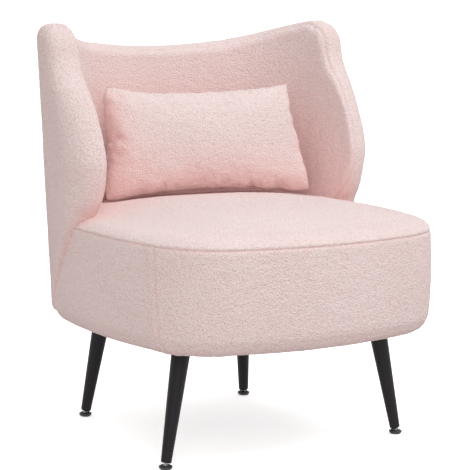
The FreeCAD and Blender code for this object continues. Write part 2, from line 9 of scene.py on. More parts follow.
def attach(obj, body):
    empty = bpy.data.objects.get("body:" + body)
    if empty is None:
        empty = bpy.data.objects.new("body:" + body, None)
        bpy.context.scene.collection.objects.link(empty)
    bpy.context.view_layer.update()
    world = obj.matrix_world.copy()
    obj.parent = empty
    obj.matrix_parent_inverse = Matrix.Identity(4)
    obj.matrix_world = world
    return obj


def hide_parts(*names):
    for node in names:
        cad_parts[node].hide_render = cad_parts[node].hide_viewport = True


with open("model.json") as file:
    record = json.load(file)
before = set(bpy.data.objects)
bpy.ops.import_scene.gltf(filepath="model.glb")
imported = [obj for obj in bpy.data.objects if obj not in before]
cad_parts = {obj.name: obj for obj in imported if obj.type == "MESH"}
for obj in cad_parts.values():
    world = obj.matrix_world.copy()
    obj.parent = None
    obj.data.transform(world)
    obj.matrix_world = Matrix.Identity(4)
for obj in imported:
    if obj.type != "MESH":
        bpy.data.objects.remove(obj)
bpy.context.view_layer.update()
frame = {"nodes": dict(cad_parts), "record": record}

# ---------------------------------------------------------------- plan outlines
# Each plan is two end arcs and two side arcs joined by corner arcs, in metres.
SEAT = dict(a=0.334, b=0.318, end=0.750, side=0.830, corner=0.160)
SHELL = dict(a=0.336, b=0.355, end=0.750, side=0.830, corner=0.240)
MIDDLE_Y = -0.032
SHELL_LOW = 0.225
FLARE = math.tan(math.radians(2.93))
SEAM_Z = 0.417
THICK = 0.068
# the seat's top, before it is domed, and how far in from the side the dome starts
SEAT_TOP = 0.4415
DOME_INSET = 0.055
CROWN = 0.026
# where the pillow lies, with its angles in degrees
PILLOW_MIDDLE = (0.025, 0.136, 0.564)
PILLOW_TURN, PILLOW_LEAN, PILLOW_ROLL = 12, 9, 1.3
PILLOW_FOOT_Y = 0.117


def plan_centres(plan, grow):
    """Arc centres and the two angles where the corner arc begins and ends."""
    end, side, corner = plan["end"] + grow, plan["side"] + grow, plan["corner"]
    ey, sx = plan["b"] - plan["end"], plan["a"] - plan["side"]
    span = math.hypot(sx, ey)
    ux, uy = sx / span, -ey / span
    d1, d3 = end - corner, side - corner
    along = (d1 ** 2 - d3 ** 2 + span ** 2) / (2 * span)
    across = np.sqrt(d1 ** 2 - along ** 2)
    cx, cy = ux * along - uy * across, ey + uy * along + ux * across
    flip = (cx < 0) | (cy < 0)
    cx = np.where(flip, ux * along + uy * across, cx)
    cy = np.where(flip, ey + uy * along - ux * across, cy)
    return end, side, ey, sx, cx, cy, np.arctan2(cy - ey, cx), np.arctan2(cy, cx - sx)


def plan_xy(plan, phi, grow=0.0, inset=0.0):
    """Point of the outline whose outward normal has angle phi."""
    phi = np.asarray(phi, float)
    end, side, ey, sx, cx, cy, top, low = plan_centres(plan, np.asarray(grow, float))
    c, s = np.cos(phi), np.sin(phi)
    q = np.arctan2(np.abs(s), np.abs(c))
    corner = plan["corner"]
    x = np.where(q > top, end * np.cos(q),
                 np.where(q < low, sx + side * np.cos(q), cx + corner * np.cos(q)))
    y = np.where(q > top, ey + end * np.sin(q),
                 np.where(q < low, side * np.sin(q), cy + corner * np.sin(q)))
    x = (x - inset * np.cos(q)) * np.where(c < 0, -1, 1)
    y = (y - inset * np.sin(q)) * np.where(s < 0, -1, 1)
    return x, y + MIDDLE_Y


def plan_place(plan, x, y, grow):
    """Depth of a point inside the outline, and the outline's normal angle there."""
    end, side, ey, sx, cx, cy, top, low = plan_centres(plan, grow)
    px, py = np.abs(x), np.abs(y - MIDDLE_Y)
    q_end, q_side = np.arctan2(py - ey, px), np.arctan2(py, px - sx)
    at_end, at_side = q_end > top, q_side < low
    inset = np.where(at_end, end - np.hypot(px, py - ey),
                     np.where(at_side, side - np.hypot(px - sx, py),
                              plan["corner"] - np.hypot(px - cx, py - cy)))
    q = np.where(at_end, q_end, np.where(at_side, q_side, np.arctan2(py - cy, px - cx)))
    return inset, np.where(y < MIDDLE_Y, -q, q)


def smooth(points, count):
    """Evenly spaced points on a smooth curve through the given ones."""
    pts = np.array(points, float)
    ext = np.vstack([2 * pts[0] - pts[1], pts, 2 * pts[-1] - pts[-2]])
    out = []
    for i in range(1, len(ext) - 2):
        a, b, c, d = ext[i - 1:i + 3]
        t = np.linspace(0, 1, 40, endpoint=False)[:, None]
        out.append(0.5 * (2 * b + (c - a) * t + (2 * a - 5 * b + 4 * c - d) * t ** 2
                          + (3 * b - a - 3 * c + d) * t ** 3))
    fine = np.vstack(out + [pts[-1:]])
    run = np.concatenate([[0], np.cumsum(np.hypot(*np.diff(fine, axis=0).T))])
    at = np.linspace(0, run[-1], count)
    return np.column_stack([np.interp(at, run, fine[:, k]) for k in (0, 1)])


def ease(x, low, high):
    """0 below the low value, 1 above the high one, and a smooth step between."""
    t = np.clip((x - low) / (high - low), 0, 1)
    return t * t * (3 - 2 * t)


# ---------------------------------------------------------------- solid noise
def lattice(i, j, k, seed):
    """Repeatable number from 0 to 1 for each corner of a cubic grid."""
    h = (i * 374761393 + j * 668265263 + k * 1442695041 + seed * 97531) & 0xffffffff
    h = ((h ^ (h >> 13)) * 1274126177) & 0xffffffff
    return ((h ^ (h >> 16)) & 0xffffff) / float(0xffffff)


def drift(p, size, seed=0):
    """Smooth noise from -1 to 1 with features of about the given size."""
    q = p / size
    base = np.floor(q).astype(np.int64)
    f = q - base
    f = f * f * (3 - 2 * f)
    total = 0
    for dx in (0, 1):
        for dy in (0, 1):
            for dz in (0, 1):
                w = ((f[:, 0] if dx else 1 - f[:, 0])
                     * (f[:, 1] if dy else 1 - f[:, 1])
                     * (f[:, 2] if dz else 1 - f[:, 2]))
                total = total + w * lattice(
                    base[:, 0] + dx, base[:, 1] + dy, base[:, 2] + dz, seed)
    return total * 2 - 1


def curls(p, size, seed=0):
    """Rounded tufts: 1 in the middle of each and 0 between them."""
    q = p / size
    base = np.floor(q).astype(np.int64)
    best = np.full(len(p), 9.0)
    for dx in (-1, 0, 1):
        for dy in (-1, 0, 1):
            for dz in (-1, 0, 1):
                i, j, k = base[:, 0] + dx, base[:, 1] + dy, base[:, 2] + dz
                spot = np.column_stack([i + lattice(i, j, k, seed + 1),
                                        j + lattice(i, j, k, seed + 2),
                                        k + lattice(i, j, k, seed + 3)])
                best = np.minimum(best, ((q - spot) ** 2).sum(1))
    return np.sqrt(np.clip(1 - best * 1.25, 0, 1))


def pile_height(p, seed=0):
    """Relief of the curly pile, in metres, about zero."""
    warp = np.column_stack([drift(p, 0.006, seed + k) for k in (11, 12, 13)])
    tufts = curls(p + warp * 0.0016, 0.0062, seed)
    return (tufts - 0.55) * 0.0013 + drift(p, 0.0034, seed + 5) * 0.0004


# ---------------------------------------------------------------- mesh helpers
def new_object(name, verts, faces, smooth_faces=True):
    mesh = bpy.data.meshes.new(name)
    mesh.from_pydata([tuple(v) for v in verts], [], [tuple(f) for f in faces])
    mesh.validate()
    mesh.update()
    if smooth_faces:
        mesh.shade_smooth()
    obj = bpy.data.objects.new(name, mesh)
    bpy.context.scene.collection.objects.link(obj)
    return obj


def vertex_normals(verts, faces):
    """Unit normals at the vertices of a mesh of quads."""
    quads = np.asarray(faces)
    n = np.zeros_like(verts)
    a, b, c, d = (verts[quads[:, k]] for k in range(4))
    face = np.cross(c - a, d - b)
    for k in range(4):
        np.add.at(n, quads[:, k], face)
    return n / np.maximum(np.linalg.norm(n, axis=1), 1e-12)[:, None]


def grid_faces(rows, columns, closed=False, flip=False):
    """Quads between consecutive rows of a grid of vertices."""
    wide = columns if closed else columns - 1
    r, c = np.meshgrid(np.arange(rows - 1), np.arange(wide), indexing="ij")
    nxt = (c + 1) % columns
    quads = np.stack([r * columns + c, r * columns + nxt, (r + 1) * columns + nxt,
                      (r + 1) * columns + c], -1).reshape(-1, 4)
    return quads[:, ::-1] if flip else quads


def part_of(name, verts, faces, keep):
    """A new object of the faces that are kept, with unused vertices dropped."""
    chosen = faces[keep]
    used = np.unique(chosen)
    index = np.full(len(verts), -1)
    index[used] = np.arange(len(used))
    return new_object(name, verts[used], index[chosen])


# ---------------------------------------------------------------- materials
def node(tree, kind, **values):
    """New shader node with its inputs or settings given by name."""
    n = tree.nodes.new(kind)
    for key, value in values.items():
        if key in n.inputs:
            n.inputs[key].default_value = value
        else:
            setattr(n, key, value)
    return n


def new_material(name):
    """Material with a single shader, its node tree and the shader."""
    material = bpy.data.materials.new(name)
    material.use_nodes = True
    tree = material.node_tree
    tree.nodes.clear()
    out = tree.nodes.new("ShaderNodeOutputMaterial")
    shader = tree.nodes.new("ShaderNodeBsdfPrincipled")
    tree.links.new(shader.outputs[0], out.inputs[0])
    return material, tree, shader


def ramp(tree, source, stops):
    """Colour looked up from a value through (position, colour) stops."""
    r = tree.nodes.new("ShaderNodeValToRGB")
    while len(r.color_ramp.elements) < len(stops):
        r.color_ramp.elements.new(0.5)
    for element, (at, colour) in zip(r.color_ramp.elements, stops):
        element.position = at
        element.color = (*colour, 1)
    tree.links.new(source, r.inputs[0])
    return r.outputs[0]


def mixed(tree, factor, first, second, blend="MIX"):
    """Blend of two colours; each input is a socket, a colour or a number."""
    m = tree.nodes.new("ShaderNodeMix")
    m.data_type = "RGBA"
    m.blend_type = blend
    for socket, value in ((m.inputs[0], factor), (m.inputs[6], first),
                          (m.inputs[7], second)):
        if hasattr(value, "is_output"):
            tree.links.new(value, socket)
        elif isinstance(value, tuple):
            socket.default_value = (*value, 1)
        else:
            socket.default_value = value
    return m.outputs[2]


def maths(tree, operation, first, second):
    """Sum or product of two inputs, each a socket or a number."""
    m = tree.nodes.new("ShaderNodeMath")
    m.operation = operation
    for socket, value in ((m.inputs[0], first), (m.inputs[1], second)):
        if hasattr(value, "is_output"):
            tree.links.new(value, socket)
        else:
            socket.default_value = value
    return m.outputs[0]


def sherpa(name, tip, between, painted_shade_tint):
    """Curly pile: tight 2 to 3 mm curls, darker and pinker between them as painted shade."""
    material, tree, shader = new_material(name)
    links = tree.links
    at = tree.nodes.new("ShaderNodeTexCoord").outputs["Object"]
    wander = node(tree, "ShaderNodeTexNoise", Scale=240.0, Detail=3.0, Roughness=0.6)
    links.new(at, wander.inputs["Vector"])
    moved = tree.nodes.new("ShaderNodeVectorMath")
    moved.operation = "MULTIPLY_ADD"
    links.new(wander.outputs["Color"], moved.inputs[0])
    moved.inputs[1].default_value = (0.0028, 0.0028, 0.0028)
    links.new(at, moved.inputs[2])
    tufts = node(tree, "ShaderNodeTexVoronoi", Scale=360.0, feature="SMOOTH_F1",
                 Smoothness=0.35)
    links.new(moved.outputs[0], tufts.inputs["Vector"])
    fuzz = node(tree, "ShaderNodeTexNoise", Scale=900.0, Detail=4.0, Roughness=0.7)
    links.new(moved.outputs[0], fuzz.inputs["Vector"])
    height = maths(tree, "SUBTRACT", 1.0, tufts.outputs["Distance"])
    height = maths(tree, "ADD", height, maths(tree, "MULTIPLY", fuzz.outputs[0], 0.5))
    clumps = node(tree, "ShaderNodeTexNoise", Scale=70.0, Detail=2.0)
    links.new(at, clumps.inputs["Vector"])
    height = maths(tree, "ADD", height, maths(tree, "MULTIPLY", clumps.outputs[0], 0.3))
    bump = node(tree, "ShaderNodeBump", Strength=0.9, Distance=0.0026)
    links.new(height, bump.inputs["Height"])
    links.new(bump.outputs[0], shader.inputs["Normal"])
    # painted shade: darker, pinker colour in the gaps between the curls, where the relief is
    # low
    colour = ramp(tree, tufts.outputs["Distance"], [(0.20, tip), (0.85, between)])
    # painted shade: where ambient occlusion finds other surfaces close, the colour turns to a
    # pinker tint that stands in for light bounced in the pile
    occlusion = node(tree, "ShaderNodeAmbientOcclusion", Distance=0.18, samples=6)
    painted_shade_amount = ramp(tree, occlusion.outputs["AO"], [(0.35, (1.0, 1.0, 1.0)),
                                                   (0.92, (0.0, 0.0, 0.0))])
    colour = mixed(tree, painted_shade_amount, colour, painted_shade_tint)
    broad = node(tree, "ShaderNodeTexNoise", Scale=5.0, Detail=3.0)
    links.new(at, broad.inputs["Vector"])
    shade = ramp(tree, broad.outputs[0], [(0.3, (0.970, 0.955, 0.950)),
                                          (0.7, (1.0, 1.0, 1.0))])
    colour = mixed(tree, 1.0, colour, shade, "MULTIPLY")
    speck = ramp(tree, fuzz.outputs[0], [(0.35, (0.93, 0.91, 0.905)),
                                         (0.6, (1.0, 1.0, 1.0))])
    colour = mixed(tree, 0.7, colour, speck, "MULTIPLY")
    links.new(colour, shader.inputs["Base Color"])
    shader.inputs["Roughness"].default_value = 0.95
    shader.inputs["Specular IOR Level"].default_value = 0.15
    shader.inputs["Sheen Weight"].default_value = 0.35
    shader.inputs["Sheen Roughness"].default_value = 0.45
    shader.inputs["Sheen Tint"].default_value = (1.0, 0.93, 0.92, 1)
    return material


def grained(name, dark, light, scale, rough, metal=0.0, bump=0.2, distance=0.0003,
            stretch=(1, 1, 1), shine=0.5):
    """Plain material with grain in its colour, roughness and relief."""
    material, tree, shader = new_material(name)
    links = tree.links
    at = tree.nodes.new("ShaderNodeTexCoord").outputs["Object"]
    squeeze = tree.nodes.new("ShaderNodeMapping")
    squeeze.inputs["Scale"].default_value = stretch
    links.new(at, squeeze.inputs[0])
    grain = node(tree, "ShaderNodeTexNoise", Scale=scale, Detail=5.0, Roughness=0.6)
    links.new(squeeze.outputs[0], grain.inputs["Vector"])
    colour = ramp(tree, grain.outputs[0], [(0.3, dark), (0.7, light)])
    links.new(colour, shader.inputs["Base Color"])
    spread = tree.nodes.new("ShaderNodeMapRange")
    spread.inputs["To Min"].default_value = max(rough - 0.08, 0.02)
    spread.inputs["To Max"].default_value = min(rough + 0.08, 1.0)
    links.new(grain.outputs[0], spread.inputs[0])
    links.new(spread.outputs[0], shader.inputs["Roughness"])
    relief = node(tree, "ShaderNodeBump", Strength=bump, Distance=distance)
    links.new(grain.outputs[0], relief.inputs["Height"])
    links.new(relief.outputs[0], shader.inputs["Normal"])
    shader.inputs["Metallic"].default_value = metal
    shader.inputs["Specular IOR Level"].default_value = shine
    return material


# tips of the curls, the painted shade in the gaps between them, and a pinker painted shade
# for places shut in by other surfaces
PINK_TIP = (0.770, 0.712, 0.706)
PINK_GAP_SHADE = (0.68, 0.53, 0.52)
PINK_PAINTED_SHADE = (0.90, 0.640, 0.620)
pile = sherpa("curly_pile", PINK_TIP, PINK_GAP_SHADE, PINK_PAINTED_SHADE)

# ---------------------------------------------------------------- seat
AROUND = 660
SIDES_IN = 0.991


def even_angles(plan, count):
    """Normal angles that give evenly spaced points round a closed plan."""
    phi = np.linspace(0, 2 * math.pi, 20001)
    x, y = plan_xy(plan, phi)
    run = np.concatenate([[0], np.cumsum(np.hypot(np.diff(x), np.diff(y)))])
    return np.interp(np.linspace(0, run[-1], count, endpoint=False), run, phi)


def crown_rise(out):
    """Height of the domed top over its edge, by the share of the way out."""
    return CROWN * (1 - np.clip(out, 0, 1) ** 2.4)


def pressed_in(x, y):
    """How far the pillow's lower edge sinks into the seat."""
    c, s = (f(math.radians(PILLOW_TURN)) for f in (math.cos, math.sin))
    dx, dy = x - PILLOW_MIDDLE[0], y - PILLOW_FOOT_Y
    behind = dx * s + dy * c
    beside = dx * c - dy * s
    return 0.009 * np.exp(-(behind / 0.038) ** 2) * (1 - ease(np.abs(beside), 0.19, 0.26))


seat_phi = even_angles(SEAT, AROUND)
# half section from the dome's edge down the side: inset and height
upper = smooth([(DOME_INSET, SEAT_TOP), (0.037, 0.4395), (0.0200, 0.4348), (0.0088, 0.4280),
                (0.0022, 0.4212), (0.0027, 0.4172)], 24)
lower = smooth([(0.0027, 0.4170), (0.0008, 0.4115), (0.0000, 0.3960),
                (-0.0014, 0.3500), (-0.0014, 0.3000), (0.0004, 0.2580),
                (0.0048, 0.2430), (0.0120, 0.2310), (0.0240, 0.2240),
                (0.0420, 0.2230)], 92)
rows = []
edge_x, edge_y = plan_xy(SEAT, seat_phi, inset=DOME_INSET)
for s in np.concatenate([[0.004], np.linspace(0.012, 0.985, 92)]):
    rows.append(np.column_stack([edge_x * s, (edge_y - MIDDLE_Y) * s + MIDDLE_Y,
                                 np.full(AROUND, SEAT_TOP + crown_rise(s))]))
seam_row = len(rows) + len(upper) - 1
for inset, z in np.vstack([upper, lower[1:]]):
    x, y = plan_xy(SEAT, seat_phi, inset=inset)
    rows.append(np.column_stack([x, y, np.full(AROUND, z)]))
seat_v = np.vstack(rows) * (SIDES_IN, 1, 1)
seat_v[:, 2] -= pressed_in(*seat_v.T[:2]) * ease(seat_v[:, 2], 0.438, SEAT_TOP)
seat_f = grid_faces(len(rows), AROUND, closed=True, flip=True)
seat_n = vertex_normals(seat_v, seat_f)
if seat_n[AROUND * 20, 2] < 0:
    seat_f = seat_f[:, ::-1]
    seat_n = -seat_n


def corner_seam_y(z):
    """The two corner seams lean forwards on their way down."""
    return -0.212 - (SEAM_Z - z) / 0.18 * 0.017


# seam grooves, stitches, gathers near the hem, and uneven stuffing
x, y, z = seat_v.T
seam_gap = np.abs(z - SEAM_Z)
on_side = np.where(z < SEAM_Z, 1.0, 0.0)
to_corner = np.where(np.abs(x) > 0.2, np.abs(y - corner_seam_y(z)), 1.0)
groove = -0.0020 * np.exp(-(to_corner / 0.0026) ** 2) * on_side
shoulder = 0.0012 * np.exp(-((to_corner - 0.008) / 0.006) ** 2) * on_side
side_wave = drift(seat_v * (1, 1, 0.25), 0.030, 3) * 0.0010 * np.exp(-seam_gap / 0.022)
dash = 0.5 + 0.5 * np.sin(np.tile(np.arange(AROUND), len(rows)) * 2 * math.pi / 4.0)
ticks = -0.0022 * np.exp(-(seam_gap / 0.0022) ** 2) * (0.15 + 0.85 * dash)
gather = 0.0014 * drift(seat_v * (1, 1, 0.2), 0.014, 8) * on_side * np.exp(
    -np.abs(z - 0.245) / 0.022) * np.exp(-(to_corner / 0.05) ** 2)
broad = 0.0016 * drift(seat_v, 0.13, 21) + 0.0006 * drift(seat_v, 0.045, 22)
seat_v = seat_v + seat_n * (groove + shoulder + side_wave + ticks + gather + broad
                            + pile_height(seat_v))[:, None]


# ---------------------------------------------------------------- seat pieces
def arc_through(first, last, radius, count=60, hollow=False):
    """Points of the short arc between two points, bulging to its left."""
    p, q = np.array(first), np.array(last)
    chord = q - p
    length = math.hypot(*chord)
    side = np.array([chord[1], -chord[0]]) / length * (-1 if hollow else 1)
    centre = (p + q) / 2 + side * math.sqrt(radius ** 2 - length ** 2 / 4)
    a0 = math.atan2(*(p - centre)[::-1])
    turn = (math.atan2(*(q - centre)[::-1]) - a0 + math.pi) % (2 * math.pi) - math.pi
    at = a0 + turn * np.linspace(0, 1, count)
    return np.column_stack([centre[0] + radius * np.cos(at),
                            centre[1] + radius * np.sin(at)])


# side outline of wing and rim, as (y, z), from the foot up and over to the rear
OUTLINE = np.vstack([
    np.column_stack([np.linspace(0.165, 0.029, 50), np.linspace(0.225, 0.440, 50)]),
    arc_through((0.029, 0.440), (-0.011, 0.550), 0.141)[1:],
    arc_through((-0.011, 0.550), (0.070, 0.697), 0.305)[1:],
    arc_through((0.070, 0.697), (0.100, 0.752), 0.111, hollow=True)[1:],
    arc_through((0.100, 0.752), (0.169, 0.800), 0.060)[1:],
    arc_through((0.169, 0.800), (0.341, 0.728), 0.412)[1:]])


def wing_edge_y(z):
    """Front edge of the wing, up to the arm."""
    low = OUTLINE[OUTLINE[:, 1] < 0.55]
    return np.interp(z, low[:, 1], low[:, 0])


face_mid = seat_v[seat_f].mean(1)
fx, fy, fz = face_mid.T
face_row = np.repeat(np.arange(len(rows) - 1), AROUND)
behind = fy > wing_edge_y(fz) + 0.025
depth = plan_place(SHELL, fx, fy, FLARE * (fz - SHELL_LOW))[0]
shown = ~(behind & (depth < THICK - 0.010))
is_top = face_row < seam_row
is_front = ~is_top & (fy < corner_seam_y(fz))
seat_parts = {
    "seat_top": (is_top, ["seat_cover_top", "seat_foam", "seat_spring_insulator"]),
    "seat_front_band": (is_front, ["seat_cover_front_band", "seat_border_wadding"]),
    "seat_left_band": (~is_top & ~is_front & (fx < 0), ["seat_cover_left_band"]),
    "seat_right_band": (~is_top & ~is_front & (fx >= 0), ["seat_cover_right_band"])}
for name, (which, nodes) in seat_parts.items():
    piece = part_of(name, seat_v, seat_f, shown & which)
    piece.data.materials.append(pile)
    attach(piece, "chair")
    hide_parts(*nodes)


# ---------------------------------------------------------------- back shell
def surface_of(field, origin, step):
    """Quads of the surface where a field on a regular grid passes through zero."""
    inside = field < 0
    some = np.zeros(tuple(n - 1 for n in field.shape), bool)
    every = np.ones_like(some)
    for i in (0, 1):
        for j in (0, 1):
            for k in (0, 1):
                part = inside[i:i + some.shape[0], j:j + some.shape[1],
                              k:k + some.shape[2]]
                some |= part
                every &= part
    cells = np.argwhere(some & ~every)
    index = np.full(some.shape, -1)
    index[tuple(cells.T)] = np.arange(len(cells))
    total = np.zeros((len(cells), 3))
    count = np.zeros(len(cells))
    for axis in range(3):
        others = [a for a in range(3) if a != axis]
        for i in (0, 1):
            for j in (0, 1):
                start = cells.copy()
                start[:, others[0]] += i
                start[:, others[1]] += j
                stop = start.copy()
                stop[:, axis] += 1
                f0, f1 = field[tuple(start.T)], field[tuple(stop.T)]
                hit = (f0 < 0) != (f1 < 0)
                t = f0[hit] / (f0[hit] - f1[hit])
                at = start[hit].astype(float)
                at[:, axis] += t
                total[hit] += at
                count[hit] += 1
    verts = origin + step * total / count[:, None]
    quads = []
    for axis in range(3):
        b, c = (axis + 1) % 3, (axis + 2) % 3
        lo = [slice(None)] * 3
        hi = [slice(None)] * 3
        lo[axis], hi[axis] = slice(0, -1), slice(1, None)
        for a in (b, c):
            lo[a] = hi[a] = slice(1, -1)
        change = inside[tuple(lo)] != inside[tuple(hi)]
        at = np.argwhere(change)
        first = inside[tuple(lo)][change]
        at[:, b] += 1
        at[:, c] += 1
        corner = []
        for db, dc in ((-1, -1), (0, -1), (0, 0), (-1, 0)):
            cell = at.copy()
            cell[:, b] += db
            cell[:, c] += dc
            corner.append(index[tuple(cell.T)])
        quad = np.stack(corner, 1)
        quad[~first] = quad[~first][:, ::-1]
        quads.append(quad)
    return verts, np.vstack(quads)


# arc length along the middle of the thickness, from the middle of the rear
MIDDLE = 0.034
turn_at = np.linspace(math.pi / 2, -math.pi / 2, 3001)
mx, my = plan_xy(SHELL, turn_at, grow=FLARE * 0.275, inset=MIDDLE)
run_at = np.concatenate([[0], np.cumsum(np.hypot(np.diff(mx), np.diff(my)))])


def run_of(y, z):
    """Arc length at which the middle of the thickness reaches y at height z."""
    out = []
    for yy, zz in zip(np.atleast_1d(y), np.atleast_1d(z)):
        ly = plan_xy(SHELL, turn_at, grow=FLARE * (zz - SHELL_LOW), inset=MIDDLE)[1]
        out.append(np.interp(-yy, -ly, run_at))
    return np.array(out)


rear_y = plan_xy(SHELL, math.pi / 2, FLARE * (OUTLINE[:, 1] - SHELL_LOW), MIDDLE)[1]
reached = OUTLINE[:, 0] < rear_y
edge_run = run_of(*OUTLINE[reached].T)
rear_z = np.interp(0.0, (rear_y - OUTLINE[:, 0])[::-1], OUTLINE[::-1, 1])
edge_line = np.vstack([np.column_stack([edge_run, OUTLINE[reached, 1]]), [[0.0, rear_z]]])
mirror = edge_line[::-1] * (-1, 1)
closed = np.vstack([edge_line, mirror[1:]])

DOMAIN_STEP = 0.002
grid_s = np.arange(-0.02, edge_run.max() + 0.05, DOMAIN_STEP)
grid_z = np.arange(0.19, 0.84, DOMAIN_STEP)
gs, gz = np.meshgrid(grid_s, grid_z, indexing="ij")
flat = np.column_stack([gs.ravel(), gz.ravel()])
seg_a, seg_b = closed[:-1], closed[1:]
nearest = np.full(len(flat), 9.0)
for a, b in zip(seg_a, seg_b):
    ab = b - a
    size = ab @ ab
    if size < 1e-14:
        continue
    t = np.clip(((flat - a) @ ab) / size, 0, 1)
    nearest = np.minimum(nearest, ((flat - a - t[:, None] * ab) ** 2).sum(1))
nearest = np.sqrt(nearest)
loop = np.vstack([closed, [[-edge_run[0], 0.10]], [[edge_run[0], 0.10]]])
within = np.zeros(len(flat), bool)
for a, b in zip(loop, np.roll(loop, -1, 0)):
    crosses = (a[1] > flat[:, 1]) != (b[1] > flat[:, 1])
    if a[1] != b[1]:
        at_s = a[0] + (flat[:, 1] - a[1]) / (b[1] - a[1]) * (b[0] - a[0])
        within ^= crosses & (flat[:, 0] < at_s)
edge_depth = np.where(within, nearest, -nearest).reshape(gs.shape)


def depth_at(s, z):
    """Distance in from the wing and rim edge, on the unrolled shell."""
    u = np.clip((s - grid_s[0]) / DOMAIN_STEP, 0, len(grid_s) - 1.001)
    v = np.clip((z - grid_z[0]) / DOMAIN_STEP, 0, len(grid_z) - 1.001)
    i, j = u.astype(int), v.astype(int)
    u, v = u - i, v - j
    return ((edge_depth[i, j] * (1 - u) + edge_depth[i + 1, j] * u) * (1 - v)
            + (edge_depth[i, j + 1] * (1 - u) + edge_depth[i + 1, j + 1] * u) * v)


def shell_field(x, y, z):
    """Negative inside the padded shell, zero on its face."""
    inset, q = plan_place(SHELL, x, y, FLARE * (z - SHELL_LOW))
    from_edge = depth_at(np.interp(-q, -turn_at, run_at), z)
    front = ease(-y, -0.13, -0.03) * ease(z, 0.42, 0.52)
    ridge = MIDDLE + 0.020 * front
    outer = inset < ridge
    bend = np.where(outer, 0.010 + 0.024 * ease(z, 0.40, 0.50) + 0.028 * front,
                    0.030 - 0.016 * front)
    across = np.abs(inset - ridge) / np.where(outer, ridge, THICK - ridge)
    edge = np.maximum(1 - (from_edge - 0.004 * front) / bend, 0)
    hem = np.maximum(1 - (z - SHELL_LOW) / np.where(outer, 0.026, 0.012), 0)
    power = 2.0 + 0.6 * ease(z, 0.42, 0.55) * np.where(outer, 1 - 0.8 * front, 1)
    size = (across ** power + edge ** power + hem ** power) ** (1 / power)
    return size - 1, inset, from_edge


STEP = 0.0031
axes = [np.arange(lo, hi, STEP) for lo, hi in
        ((-0.376, 0.376), (-0.040, 0.366), (0.212, 0.815))]
field = np.empty([len(a) for a in axes])
for k, height in enumerate(axes[2]):
    gx, gy = np.meshgrid(axes[0], axes[1], indexing="ij")
    field[:, :, k] = shell_field(gx, gy, np.full(gx.shape, height))[0]
shell_v, shell_f = surface_of(field, np.array([a[0] for a in axes]), STEP)
a, b, c = (shell_v[shell_f[:, k]] for k in range(3))
if (np.cross(b - a, c - a) * a).sum() < 0:
    shell_f = shell_f[:, ::-1]
shell_n = vertex_normals(shell_v, shell_f)
inset, from_edge = shell_field(*shell_v.T)[1:]
SEAM_INSET = 0.060
to_seam = np.hypot(inset - SEAM_INSET, np.maximum(from_edge - 0.018, 0))
groove = -0.0022 * np.exp(-(to_seam / 0.0026) ** 2)
shoulder = 0.0006 * np.exp(-((to_seam - 0.007) / 0.004) ** 2)
inner = ease(inset, 0.030, 0.050)
pucker = 0.0007 * drift(shell_v, 0.022, 41) * np.exp(-to_seam / 0.014)
broad = ((0.0016 * drift(shell_v, 0.15, 31) + 0.0006 * drift(shell_v, 0.05, 32))
         * (0.6 + 0.5 * inner))
shell_v = shell_v + shell_n * (groove + shoulder + pucker + broad - 0.0022
                               + pile_height(shell_v, 7))[:, None]
is_outer = inset[shell_f].mean(1) < SEAM_INSET
shell_parts = {
    "back_outer": (is_outer, "back_outer_cover", ["back_outer_cover", "back_outer_wadding"]),
    "back_inner": (~is_outer, "back_inner_cover", ["back_inner_cover", "back_inner_foam"])}
for name, (which, finish, nodes) in shell_parts.items():
    piece = part_of(name, shell_v, shell_f, which)
    piece.data.materials.append(pile)
    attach(piece, "chair")
    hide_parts(*nodes)

# ---------------------------------------------------------------- pillow
WIDE, TALL = 77, 41
PANEL = (0.2275, 0.1225)
HALF = np.array([0.213, 0.058, 0.117])
DRAWN = (0.075, 0.15)


def pillow_panels():
    """Two flat panels that share their border, slightly apart in the middle."""
    rng = np.random.default_rng(12)
    u, v = np.meshgrid(np.linspace(-1, 1, WIDE), np.linspace(-1, 1, TALL), indexing="ij")
    border = (np.abs(u) > 0.999) | (np.abs(v) > 0.999)
    lift = 0.010 * (1 - u ** 4) * (1 - v ** 4)
    lift = lift + np.where(border, 0, rng.normal(0, 0.0005, u.shape))
    x, z = u * PANEL[0], v * PANEL[1]
    front = np.stack([x, -lift, z], -1).reshape(-1, 3)
    faces = grid_faces(WIDE, TALL)
    index = np.arange(WIDE * TALL)
    free = ~border.ravel()
    index[free] = WIDE * TALL + np.arange(free.sum())
    rear = np.stack([x, lift, z], -1).reshape(-1, 3)[free]
    return np.vstack([front, rear]), np.vstack([faces, index[faces][:, ::-1]]), border.ravel()


pillow_v, pillow_f, pillow_border = pillow_panels()
pillow = new_object("pillow", pillow_v, pillow_f)
sim = pillow.modifiers.new("fill", "CLOTH")
sim.settings.quality = 8
sim.settings.mass = 0.12
sim.settings.tension_stiffness = 25
sim.settings.compression_stiffness = 12
sim.settings.shear_stiffness = 6
sim.settings.bending_stiffness = 0.6
sim.settings.air_damping = 3
sim.settings.use_pressure = True
sim.settings.uniform_pressure_force = 4
sim.settings.effector_weights.gravity = 0
sim.collision_settings.use_collision = False
sim.point_cache.frame_start, sim.point_cache.frame_end = 1, 20
for frame_at in range(1, 21):
    bpy.context.scene.frame_set(frame_at)
done = pillow.evaluated_get(bpy.context.evaluated_depsgraph_get()).to_mesh()
pillow_v = np.array([v.co for v in done.vertices])
pillow.evaluated_get(bpy.context.evaluated_depsgraph_get()).to_mesh_clear()
pillow.modifiers.remove(sim)
bpy.context.scene.frame_set(1)
pillow_v -= (pillow_v.max(0) + pillow_v.min(0)) / 2


def evened(line):
    """What moves an edge on to a smooth curve through it."""
    t = np.linspace(-1, 1, len(line))
    return np.polyval(np.polyfit(t, line, 4), t) - line


